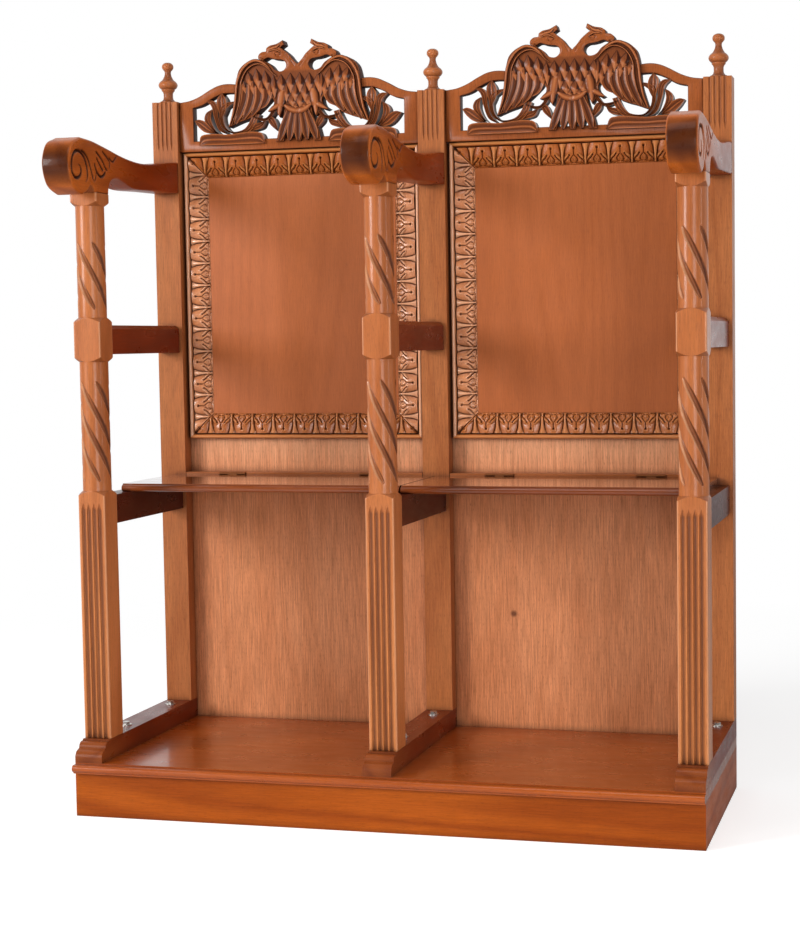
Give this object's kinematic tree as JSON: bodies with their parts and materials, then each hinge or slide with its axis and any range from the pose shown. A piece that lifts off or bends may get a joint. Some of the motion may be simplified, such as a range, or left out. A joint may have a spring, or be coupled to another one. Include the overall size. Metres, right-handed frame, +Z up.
{
  "type": "choir stall",
  "caption": "Wooden choir stall with tip-up seats between scroll arms on spirally fluted posts, with carved panel frames and pierced eagle crests.",
  "frame": {"origin": "on the floor, under the middle of the stall's overall box", "axes": "+X to the stall's right as seen from the front, +Y from the open front to the backs, +Z up"},
  "size_m": [1.25, 0.548, 1.569],
  "materials": {
    "beech_brown": "satin lacquer, warm brown",
    "beech_red": "gloss lacquer, red-brown",
    "beech_light": "satin lacquer, light orange-brown",
    "steel": "plain zinc-plated steel"
  },
  "bodies": {
    "stall": {"arm_centre": "beech_red", "arm_left": "beech_red", "arm_right": "beech_red", "back_panel_left": "beech_light", "back_panel_right": "beech_light", "back_post_centre": "beech_light", "back_post_left": "beech_light", "back_post_right": "beech_light", "crest_left": "beech_brown", "crest_right": "beech_brown", "elbow_rail_centre": "beech_red", "elbow_rail_left": "beech_red", "elbow_rail_right": "beech_red", "finial_centre": "beech_brown", "finial_left": "beech_brown", "finial_right": "beech_brown", "foot_rail_bolts": "steel", "foot_rail_centre": "beech_red", "foot_rail_left": "beech_red", "foot_rail_right": "beech_red", "foot_rail_washers": "steel", "front_post_centre": "beech_brown", "front_post_left": "beech_brown", "front_post_right": "beech_brown", "hinge_fixed_leaves_left": "steel", "hinge_fixed_leaves_right": "steel", "hinge_pins_left": "steel", "hinge_pins_right": "steel", "panel_frame_left_bottom": "beech_brown", "panel_frame_left_left": "beech_brown", "panel_frame_left_right": "beech_brown", "panel_frame_left_top": "beech_brown", "panel_frame_right_bottom": "beech_brown", "panel_frame_right_left": "beech_brown", "panel_frame_right_right": "beech_brown", "panel_frame_right_top": "beech_brown", "platform_board": "beech_red", "plinth_front_board": "beech_brown", "plinth_joist_centre": "beech_brown", "plinth_joist_left": "beech_brown", "plinth_joist_right": "beech_brown", "plinth_rear_board": "beech_brown", "plinth_side_left": "beech_brown", "plinth_side_right": "beech_brown", "seat_batten_left": "beech_brown", "seat_batten_right": "beech_brown", "seat_bearer_centre": "beech_brown", "seat_bearer_left": "beech_brown", "seat_bearer_right": "beech_brown", "upper_panel_left": "beech_light", "upper_panel_right": "beech_light"},
    "seat_board_left": {"seat_left": "beech_red", "hinge_moving_leaves_left": "steel"},
    "seat_board_right": {"seat_right": "beech_red", "hinge_moving_leaves_right": "steel"}
  },
  "joints": [
    {"name": "seat_hinge_left", "type": "hinge", "parent": "stall", "child": "seat_board_left", "pos_m": [-0.29825, 0.2295, 0.6489], "axis": [-1, 0, 0], "range_deg": [0, 90]},
    {"name": "seat_hinge_right", "type": "hinge", "parent": "stall", "child": "seat_board_right", "pos_m": [0.29825, 0.2295, 0.6489], "axis": [-1, 0, 0], "range_deg": [0, 90]}
  ]
}
